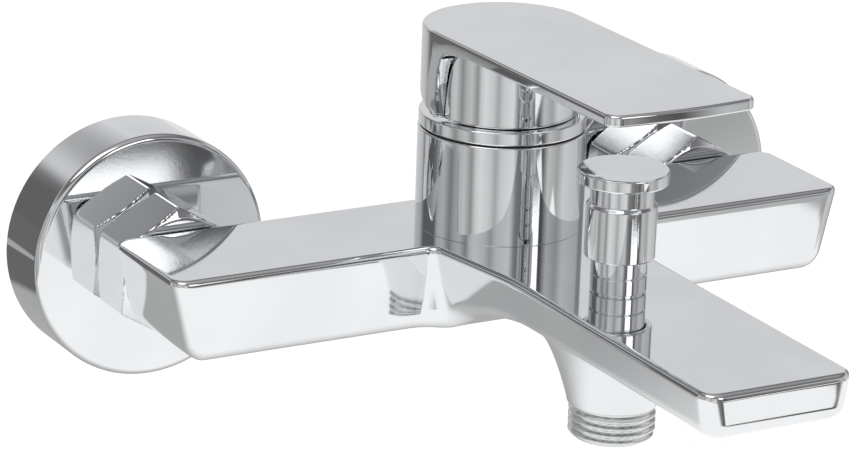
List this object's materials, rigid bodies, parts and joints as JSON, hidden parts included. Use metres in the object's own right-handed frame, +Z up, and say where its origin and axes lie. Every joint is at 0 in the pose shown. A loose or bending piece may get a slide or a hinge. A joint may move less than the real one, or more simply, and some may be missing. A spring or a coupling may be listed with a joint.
{
  "type": "wall mounted bath mixer",
  "caption": "Wall mounted single-lever bath mixer with a cross bar on two roses, flat spout, pull-up diverter knob and threaded shower outlet.",
  "frame": {"origin": "on the finished wall, midway between the axes of the two wall outlets", "axes": "+X to the right along the cross bar, +Y into the wall, +Z up; the spout points to -Y"},
  "size_m": [0.2126, 0.2016, 0.0955],
  "materials": {
    "chrome": "polished",
    "brass": "machined",
    "chromed_cast_brass": "polished",
    "steel": "drawn",
    "cartridge_plastic": "moulded",
    "grey_plastic": "moulded",
    "ceramic": "lapped",
    "rubber": "moulded",
    "index_plastic": "moulded"
  },
  "bodies": {
    "root": {"eccentric_union_left": "brass", "wall_rose_left": "chrome", "union_nut_left": "chrome", "filter_washer_left": "rubber", "filter_screen_left": "steel", "inlet_stub_left": "brass", "eccentric_union_right": "brass", "wall_rose_right": "chrome", "union_nut_right": "chrome", "filter_washer_right": "rubber", "filter_screen_right": "steel", "inlet_stub_right": "brass", "body_casting": "chromed_cast_brass", "tower_sleeve": "chrome", "cartridge_base": "grey_plastic", "base_seals": "rubber", "fixed_disc": "ceramic", "cartridge_housing": "cartridge_plastic", "cartridge_nut": "brass", "ring_gasket": "rubber", "trim_ring": "chrome", "diverter_bonnet": "chrome", "rod_seals": "rubber", "seal_retainer": "brass", "bonnet_cap": "brass", "diverter_spring": "steel", "shower_nipple": "chrome", "check_valve_housing": "grey_plastic", "check_valve_spring": "steel", "aerator_housing": "chrome", "aerator_insert": "cartridge_plastic", "aerator_washer": "rubber"},
    "swivel": {"swivel_guide": "grey_plastic", "spindle_pin": "steel"},
    "lever": {"spindle": "brass", "lever_handle": "chrome", "lever_screw": "steel", "index_plug": "index_plastic"},
    "carrier": {"disc_carrier": "grey_plastic", "moving_disc": "ceramic"},
    "diverter": {"diverter_knob": "chrome", "diverter_rod": "brass", "diverter_valve": "brass", "valve_seals": "rubber", "spring_collar": "brass"},
    "poppet": {"check_valve_poppet": "cartridge_plastic"}
  },
  "joints": [
    {"name": "lever_turn", "type": "hinge", "parent": "root", "child": "swivel", "pos_m": [0, -0.0598, 0.0336], "axis": [0, 0, 1], "range_deg": [-45, 45]},
    {"name": "lever_lift", "type": "hinge", "parent": "swivel", "child": "lever", "pos_m": [0, -0.0598, 0.0336], "axis": [-1, 0, 0], "range_deg": [0, 19]},
    {"name": "disc_slide", "type": "slide", "parent": "swivel", "child": "carrier", "axis": [0, -1, 0], "range_m": [0, 0.0019]},
    {"name": "diverter_pull", "type": "slide", "parent": "root", "child": "diverter", "axis": [0, 0, 1], "range_m": [0, 0.0057], "stiffness_N_per_m": 250, "springref_m": -0.004, "deforming": ["diverter_spring"]},
    {"name": "check_valve_open", "type": "slide", "parent": "root", "child": "poppet", "axis": [0, 0, -1], "range_m": [0, 0.0015], "stiffness_N_per_m": 60, "springref_m": -0.003, "deforming": ["check_valve_spring"]}
  ],
  "couplings": [
    {"joint": "disc_slide", "follows": "lever_lift", "m_per_rad": 0.0057}
  ]
}
